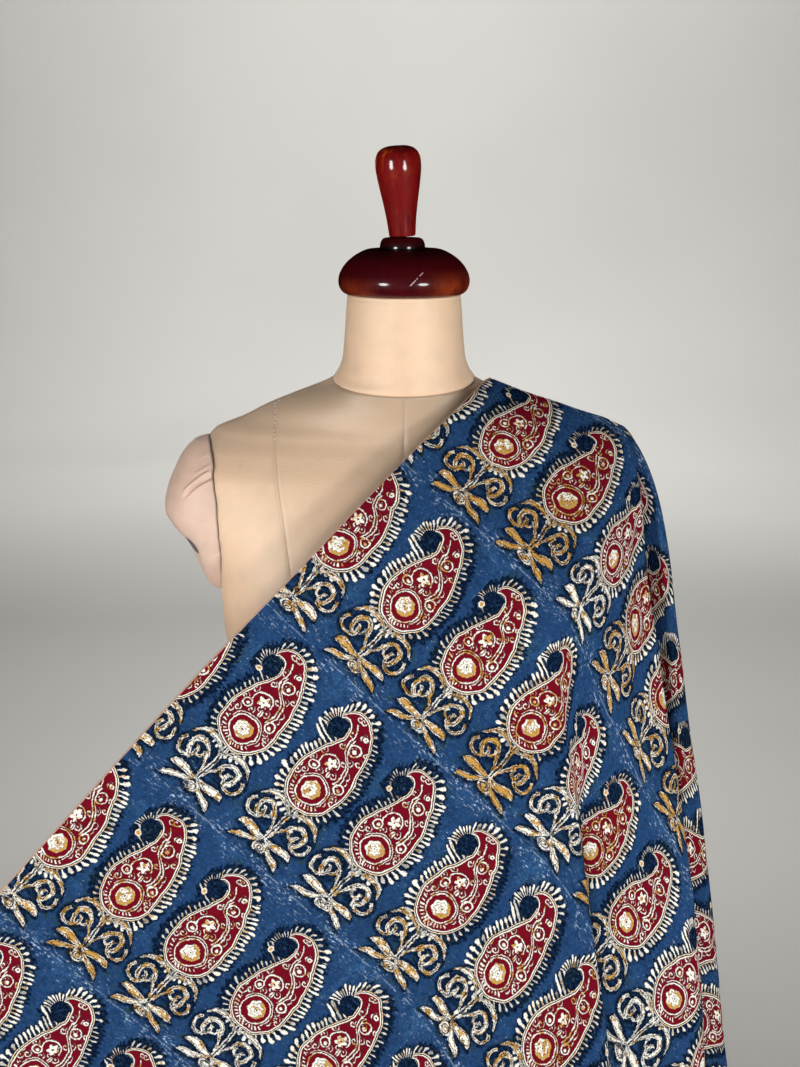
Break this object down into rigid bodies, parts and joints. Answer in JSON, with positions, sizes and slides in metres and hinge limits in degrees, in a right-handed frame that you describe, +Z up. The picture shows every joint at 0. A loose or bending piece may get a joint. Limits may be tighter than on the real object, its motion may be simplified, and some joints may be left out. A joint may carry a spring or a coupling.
{
  "type": "kalamkari cloth draped on a dress form",
  "caption": "Length of block-printed indigo kalamkari cotton draped over the shoulder of a plain cloth-covered dress form with a turned wood neck cap and handle.",
  "frame": {"origin": "middle of the dress form's flat base, on the surface it stands on", "axes": "+X towards the shoulder that carries the cloth, -Y towards the front, +Z up"},
  "size_m": [0.895, 0.2754, 0.8685],
  "materials": {
    "printed_cotton": "matt hand-printed cotton, indigo ground with madder red, cream and ochre motifs",
    "form_cover": "smooth beige satin with sewn seams",
    "arm_cap_cover": "pinkish beige satin, a little glossier",
    "stained_wood": "glossy red-brown varnished wood"
  },
  "bodies": {
    "root": {"form_torso": "form_cover", "form_neck": "form_cover", "arm_cap_open": "arm_cap_cover", "arm_cap_under_cloth": "arm_cap_cover", "wood_cap": "stained_wood", "wood_collar": "stained_wood", "wood_handle": "stained_wood", "kalamkari_cloth": "printed_cotton"}
  },
  "joints": []
}
